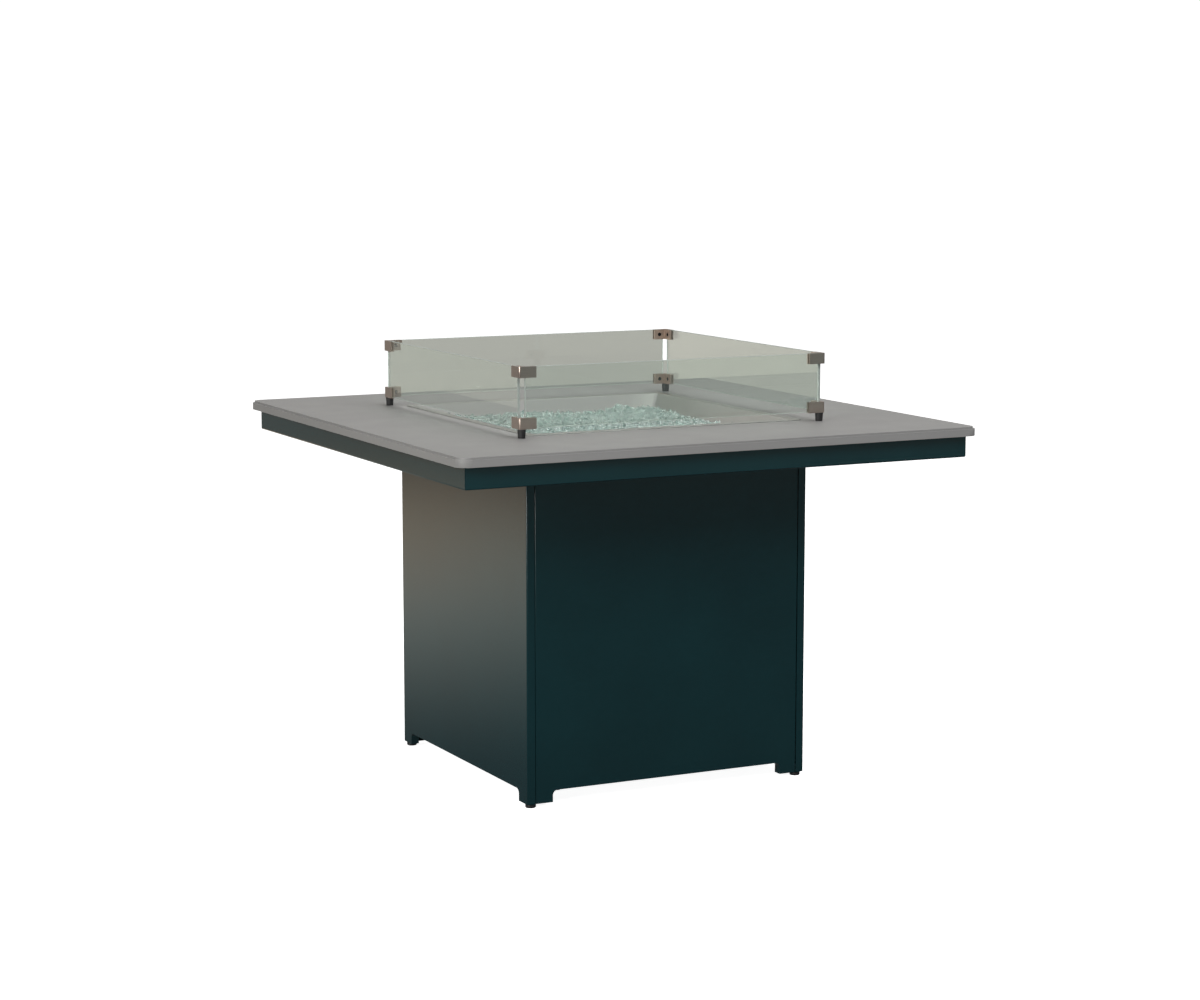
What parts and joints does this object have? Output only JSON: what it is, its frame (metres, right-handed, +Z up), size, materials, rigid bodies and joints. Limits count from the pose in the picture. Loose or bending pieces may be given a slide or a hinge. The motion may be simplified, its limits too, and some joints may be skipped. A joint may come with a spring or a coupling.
{
  "type": "gas fire table",
  "caption": "Square outdoor gas fire table with a slab top, sheet-metal pedestal with a hinged access door, drop-in burner pan with glass media and a lift-off glass wind guard.",
  "frame": {"origin": "on the floor, under the centre of the square pedestal", "axes": "+Z up, the access door faces -Y, +X to the right as seen from the door"},
  "size_m": [1.118, 1.118, 0.867],
  "materials": {
    "top_slab": "fine satin marine-grade polymer slab, light grey",
    "base_coat": "satin powder coat, very dark teal",
    "stainless": "brushed stainless sheet",
    "bracket_steel": "brushed dark nickel",
    "clear_glass": "clear tempered float glass with a faint green tint",
    "fire_glass": "crushed clear to pale aqua tempered glass",
    "black_rubber": "matt moulded rubber",
    "black_plastic": "moulded black plastic",
    "galvanised": "zinc-plated steel",
    "brass": "machined brass",
    "red_plastic": "moulded red plastic",
    "black_oxide": "black oxide socket screws"
  },
  "bodies": {
    "table": {"table_top": "top_slab", "apron_front": "base_coat", "apron_right": "base_coat", "apron_back": "base_coat", "apron_left": "base_coat", "apron_gussets": "base_coat", "rail_left": "base_coat", "rail_right": "base_coat", "rail_front": "base_coat", "rail_back": "base_coat", "slab_pads": "black_rubber", "slab_screws": "galvanised", "side_panel_left": "base_coat", "side_panel_right": "base_coat", "back_panel": "base_coat", "foot_blocks": "galvanised", "bottom_shelf": "galvanised", "tank_ring": "galvanised", "door_pivot_lower": "galvanised", "door_pivot_upper": "galvanised", "magnetic_catches": "black_plastic", "heat_shield": "galvanised", "shield_hangers": "galvanised", "control_plate": "galvanised", "gas_valve": "brass", "gas_inlet": "brass", "igniter_body": "black_plastic", "gas_pipe": "brass", "air_mixer": "stainless", "burner_ring": "stainless", "burner_pan": "stainless", "pilot_hood": "stainless", "glass_media": "fire_glass"},
    "door": {"front_door": "base_coat", "door_strikes": "galvanised"},
    "wind_guard": {"glass_front": "clear_glass", "glass_right": "clear_glass", "glass_back": "clear_glass", "glass_left": "clear_glass", "lower_bracket_front_left": "bracket_steel", "lower_bracket_front_right": "bracket_steel", "lower_bracket_back_right": "bracket_steel", "lower_bracket_back_left": "bracket_steel", "upper_bracket_front_left": "bracket_steel", "upper_bracket_front_right": "bracket_steel", "upper_bracket_back_right": "bracket_steel", "upper_bracket_back_left": "bracket_steel", "bracket_screws": "black_oxide", "guard_feet": "black_rubber"},
    "knob": {"valve_stem": "stainless", "control_knob": "black_plastic"},
    "button": {"igniter_button": "red_plastic"},
    "glide_front_left_body": {"glide_front_left": "black_plastic"},
    "glide_front_right_body": {"glide_front_right": "black_plastic"},
    "glide_back_right_body": {"glide_back_right": "black_plastic"},
    "glide_back_left_body": {"glide_back_left": "black_plastic"}
  },
  "joints": [
    {"name": "door_hinge", "type": "hinge", "parent": "table", "child": "door", "pos_m": [-0.243, -0.3045, 0.35], "axis": [0, 0, -1], "range_deg": [0, 110]},
    {"name": "guard_lift", "type": "slide", "parent": "table", "child": "wind_guard", "axis": [0, 0, 1], "range_m": [0, 0.15]},
    {"name": "knob_turn", "type": "hinge", "parent": "table", "child": "knob", "pos_m": [-0.045, -0.27, 0.62], "axis": [0, -1, 0], "range_deg": [0, 180]},
    {"name": "igniter_press", "type": "slide", "parent": "table", "child": "button", "axis": [0, 1, 0], "range_m": [0, 0.005], "stiffness_N_per_m": 400, "springref_m": -0.003},
    {"name": "glide_front_left_turn", "type": "hinge", "parent": "table", "child": "glide_front_left_body", "pos_m": [-0.2985, -0.2985, 0.01], "axis": [0, 0, 1], "continuous": true},
    {"name": "glide_front_right_turn", "type": "hinge", "parent": "table", "child": "glide_front_right_body", "pos_m": [0.2985, -0.2985, 0.01], "axis": [0, 0, 1], "continuous": true},
    {"name": "glide_back_right_turn", "type": "hinge", "parent": "table", "child": "glide_back_right_body", "pos_m": [0.2985, 0.2985, 0.01], "axis": [0, 0, 1], "continuous": true},
    {"name": "glide_back_left_turn", "type": "hinge", "parent": "table", "child": "glide_back_left_body", "pos_m": [-0.2985, 0.2985, 0.01], "axis": [0, 0, 1], "continuous": true}
  ]
}
